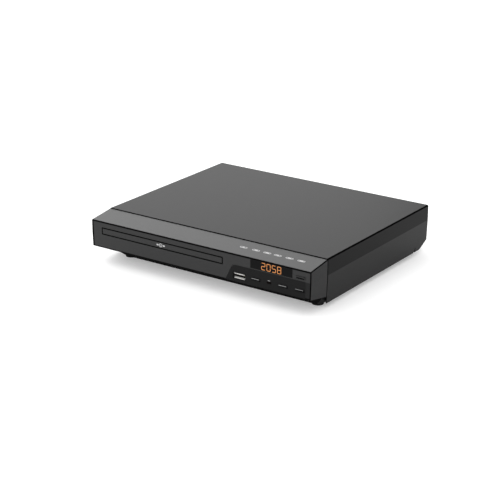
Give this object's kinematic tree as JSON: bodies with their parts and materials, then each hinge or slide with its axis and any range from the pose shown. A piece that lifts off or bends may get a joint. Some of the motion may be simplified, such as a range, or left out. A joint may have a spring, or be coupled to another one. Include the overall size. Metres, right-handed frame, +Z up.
{
  "type": "disc player",
  "caption": "Low black disc player with a sloped front panel, a motor-driven sliding tray, push buttons, a lit display window, a folded steel cover and sockets at the rear",
  "frame": {"origin": "on the ground, under the middle of the whole box", "axes": "+X to the right seen from the front, +Y to the rear, +Z up; the tray opens towards -Y"},
  "size_m": [0.225, 0.1988, 0.0429],
  "materials": {
    "cover_paint": "satin black powder paint",
    "panel_black": "satin moulded plastic",
    "inlay_black": "smooth dark inlay",
    "window_smoke": "smoked acrylic",
    "button_black": "satin moulded plastic",
    "pan_steel": "black painted sheet",
    "rear_black": "black painted sheet",
    "foot_rubber": "moulded rubber",
    "screw_black": "blackened steel",
    "screw_steel": "zinc-plated steel",
    "board_green": "laminate under solder resist",
    "switch_grey": "moulded plastic",
    "display_dark": "moulded plastic",
    "sensor_dark": "dark infrared plastic",
    "port_steel": "nickel-plated sheet",
    "port_black": "moulded plastic",
    "tray_black": "finely textured plastic",
    "frame_grey": "glass-filled plastic",
    "bridge_steel": "zinc-coated sheet",
    "clamper_white": "acetal",
    "yoke_steel": "plain steel",
    "motor_steel": "drawn steel can",
    "gear_white": "acetal",
    "belt_rubber": "square rubber belt",
    "traverse_steel": "pressed steel",
    "bush_rubber": "soft rubber",
    "table_black": "moulded plastic",
    "rod_steel": "ground steel",
    "sled_grey": "die-cast",
    "lens_glass": "coated lens in a dark holder",
    "screw_brass": "rolled lead screw",
    "chip_black": "moulded package",
    "sink_aluminium": "extruded",
    "jack_metal": "nickel-plated brass",
    "jack_yellow": "moulded plastic",
    "jack_white": "moulded plastic",
    "jack_red": "moulded plastic",
    "inlet_black": "moulded plastic",
    "pin_metal": "nickel-plated brass",
    "connector_white": "moulded plastic",
    "wire_blue": "wire insulation",
    "ferrite": "ferrite",
    "winding_tape": "yellow tape",
    "can_black": "shrink sleeve"
  },
  "bodies": {
    "base": {"top_cover": "cover_paint", "front_panel": "panel_black", "control_inlay": "inlay_black", "display_window": "window_smoke", "sensor_window": "window_smoke", "bottom_pan": "pan_steel", "rubber_feet": "foot_rubber", "rear_panel": "rear_black", "rear_screws": "screw_black", "button_switches": "switch_grey", "front_board": "board_green", "display_module": "display_dark", "remote_sensor": "sensor_dark", "data_port_shell": "port_steel", "data_port_tongue": "connector_white", "board_screws": "screw_steel", "loader_frame": "frame_grey", "loader_screws": "screw_steel", "clamp_bridge": "bridge_steel", "loading_motor": "motor_steel", "drive_belt": "belt_rubber", "traverse_bushes": "bush_rubber", "main_board": "board_green", "power_board": "board_green", "main_chip": "chip_black", "heat_sink": "sink_aluminium", "av_socket": "port_steel", "av_socket_tongue": "port_black", "jack_sleeves": "jack_metal", "mains_inlet": "inlet_black", "inlet_pins": "pin_metal", "power_connector": "connector_white", "mains_wires": "wire_blue", "transformer_core": "ferrite", "transformer_winding": "winding_tape", "capacitors": "can_black", "video_jack": "jack_yellow", "left_jack": "jack_white", "right_jack": "jack_red"},
    "tray": {"disc_tray": "tray_black", "tray_door": "panel_black"},
    "drive_gear": {"drive_gear": "gear_white"},
    "pulley_gear": {"pulley_gear": "gear_white"},
    "motor_pulley": {"motor_pulley": "gear_white"},
    "cam_slider": {"cam_slider": "gear_white"},
    "traverse": {"traverse_plate": "traverse_steel", "spindle_motor": "motor_steel", "guide_rods": "rod_steel", "feed_motor": "motor_steel"},
    "turntable": {"turntable": "table_black"},
    "clamper": {"disc_clamper": "clamper_white", "clamper_yoke": "yoke_steel"},
    "sled": {"pickup_sled": "sled_grey"},
    "lens": {"objective_lens": "lens_glass"},
    "feed_screw": {"feed_screw": "screw_brass"},
    "play_button": {"play_button": "button_black"},
    "stop_button": {"stop_button": "button_black"},
    "open_button": {"open_button": "button_black"},
    "standby_button": {"standby_button": "button_black"}
  },
  "joints": [
    {"name": "tray_slide", "type": "slide", "parent": "base", "child": "tray", "axis": [0, -1, 0], "range_m": [0, 0.127]},
    {"name": "drive_gear_spin", "type": "hinge", "parent": "base", "child": "drive_gear", "pos_m": [0.0115, -0.0643, 0.0123], "axis": [0, 0, 1], "range_deg": [-1124.47, 5]},
    {"name": "pulley_gear_spin", "type": "hinge", "parent": "base", "child": "pulley_gear", "pos_m": [-0.0053, -0.0643, 0.0123], "axis": [0, 0, 1], "range_deg": [-5, 2803.68]},
    {"name": "motor_pulley_spin", "type": "hinge", "parent": "base", "child": "motor_pulley", "pos_m": [-0.0335, -0.0673, 0.022], "axis": [0, 0, 1], "range_deg": [-5, 7468.14]},
    {"name": "traverse_lift", "type": "hinge", "parent": "base", "child": "traverse", "pos_m": [-0.037, 0.0492, 0.0215], "axis": [-1, 0, 0], "range_deg": [0, 4.59]},
    {"name": "cam_slide", "type": "slide", "parent": "base", "child": "cam_slider", "axis": [-1, 0, 0], "range_m": [-0.0002, 0.0152]},
    {"name": "turntable_spin", "type": "hinge", "parent": "traverse", "child": "turntable", "pos_m": [-0.037, -0.03141, 0.02587], "axis": [0, -0.08, 0.9968], "continuous": true},
    {"name": "clamper_spin", "type": "hinge", "parent": "base", "child": "clamper", "pos_m": [-0.037, -0.0308, 0.0366], "axis": [0, 0, 1], "continuous": true},
    {"name": "sled_slide", "type": "slide", "parent": "traverse", "child": "sled", "axis": [0, 0.9968, 0.08], "range_m": [0, 0.0355]},
    {"name": "feed_screw_spin", "type": "hinge", "parent": "traverse", "child": "feed_screw", "pos_m": [-0.001, -0.01584, 0.01939], "axis": [0, 0.9968, 0.08], "range_deg": [-4265, 5]},
    {"name": "lens_focus", "type": "slide", "parent": "sled", "child": "lens", "axis": [0, -0.08, 0.9968], "range_m": [-0.0004, 0.0004], "stiffness_N_per_m": 40},
    {"name": "play_button_press", "type": "slide", "parent": "base", "child": "play_button", "axis": [0, 1, 0], "range_m": [0, 0.0008], "stiffness_N_per_m": 1800},
    {"name": "stop_button_press", "type": "slide", "parent": "base", "child": "stop_button", "axis": [0, 1, 0], "range_m": [0, 0.0008], "stiffness_N_per_m": 1800},
    {"name": "open_button_press", "type": "slide", "parent": "base", "child": "open_button", "axis": [0, 1, 0], "range_m": [0, 0.0008], "stiffness_N_per_m": 1800},
    {"name": "standby_button_press", "type": "slide", "parent": "base", "child": "standby_button", "axis": [0, 1, 0], "range_m": [0, 0.0008], "stiffness_N_per_m": 1800}
  ],
  "couplings": [
    {"joint": "drive_gear_spin", "follows": "tray_slide", "rad_per_m": -153.85},
    {"joint": "pulley_gear_spin", "follows": "tray_slide", "rad_per_m": 384.62},
    {"joint": "motor_pulley_spin", "follows": "tray_slide", "rad_per_m": 1025.6},
    {"joint": "cam_slide", "follows": "traverse_lift", "m_per_rad": 0.1873},
    {"joint": "feed_screw_spin", "follows": "sled_slide", "rad_per_m": -2094.4}
  ]
}
